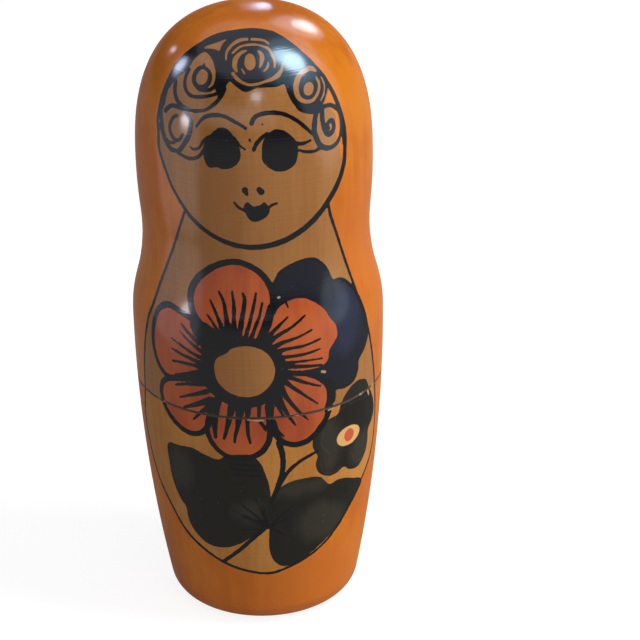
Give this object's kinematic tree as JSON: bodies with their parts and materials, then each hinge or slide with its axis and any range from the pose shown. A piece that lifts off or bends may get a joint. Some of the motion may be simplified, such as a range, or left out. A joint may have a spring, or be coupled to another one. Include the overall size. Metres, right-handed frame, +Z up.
{
  "type": "nesting doll",
  "caption": "Turned wooden nesting doll painted with kerchief, face and flower apron; each hollow doll parts at a spigot join to hold the next, down to a solid one.",
  "frame": {"origin": "centre of the flat foot of the outer doll, on the surface it stands on", "axes": "+Z up along the turning axis, -Y towards the painted front, +X to the viewer's right"},
  "size_m": [0.068, 0.068, 0.17],
  "materials": {
    "dyed_wood": "turned pale wood, dye-painted and lacquered outside, bare inside"
  },
  "bodies": {
    "doll_1_lower_half": {"doll_1_lower_half": "dyed_wood"},
    "doll_2_lower_half": {"doll_2_lower_half": "dyed_wood"},
    "doll_3_lower_half": {"doll_3_lower_half": "dyed_wood"},
    "doll_4_lower_half": {"doll_4_lower_half": "dyed_wood"},
    "doll_5_lower_half": {"doll_5_lower_half": "dyed_wood"},
    "doll_6_lower_half": {"doll_6_lower_half": "dyed_wood"},
    "doll_1_upper_half": {"doll_1_upper_half": "dyed_wood"},
    "doll_2_upper_half": {"doll_2_upper_half": "dyed_wood"},
    "doll_3_upper_half": {"doll_3_upper_half": "dyed_wood"},
    "doll_4_upper_half": {"doll_4_upper_half": "dyed_wood"},
    "doll_5_upper_half": {"doll_5_upper_half": "dyed_wood"},
    "doll_6_upper_half": {"doll_6_upper_half": "dyed_wood"},
    "doll_7_solid": {"doll_7_solid": "dyed_wood"}
  },
  "joints": [
    {"name": "doll_2_lift_out", "type": "slide", "parent": "doll_1_lower_half", "child": "doll_2_lower_half", "axis": [0, 0, 1], "range_m": [0, 0.074]},
    {"name": "doll_3_lift_out", "type": "slide", "parent": "doll_2_lower_half", "child": "doll_3_lower_half", "axis": [0, 0, 1], "range_m": [0, 0.061]},
    {"name": "doll_4_lift_out", "type": "slide", "parent": "doll_3_lower_half", "child": "doll_4_lower_half", "axis": [0, 0, 1], "range_m": [0, 0.049]},
    {"name": "doll_5_lift_out", "type": "slide", "parent": "doll_4_lower_half", "child": "doll_5_lower_half", "axis": [0, 0, 1], "range_m": [0, 0.04]},
    {"name": "doll_6_lift_out", "type": "slide", "parent": "doll_5_lower_half", "child": "doll_6_lower_half", "axis": [0, 0, 1], "range_m": [0, 0.033]},
    {"name": "doll_7_lift_out", "type": "slide", "parent": "doll_6_lower_half", "child": "doll_7_solid", "axis": [0, 0, 1], "range_m": [0, 0.027]},
    {"name": "doll_6_open", "type": "slide", "parent": "doll_7_solid", "child": "doll_6_upper_half", "axis": [0, 0, 1], "range_m": [0, 0.032]},
    {"name": "doll_5_open", "type": "slide", "parent": "doll_6_upper_half", "child": "doll_5_upper_half", "axis": [0, 0, 1], "range_m": [0, 0.039]},
    {"name": "doll_4_open", "type": "slide", "parent": "doll_5_upper_half", "child": "doll_4_upper_half", "axis": [0, 0, 1], "range_m": [0, 0.048]},
    {"name": "doll_3_open", "type": "slide", "parent": "doll_4_upper_half", "child": "doll_3_upper_half", "axis": [0, 0, 1], "range_m": [0, 0.058]},
    {"name": "doll_2_open", "type": "slide", "parent": "doll_3_upper_half", "child": "doll_2_upper_half", "axis": [0, 0, 1], "range_m": [0, 0.072]},
    {"name": "doll_1_open", "type": "slide", "parent": "doll_2_upper_half", "child": "doll_1_upper_half", "axis": [0, 0, 1], "range_m": [0, 0.088]}
  ]
}
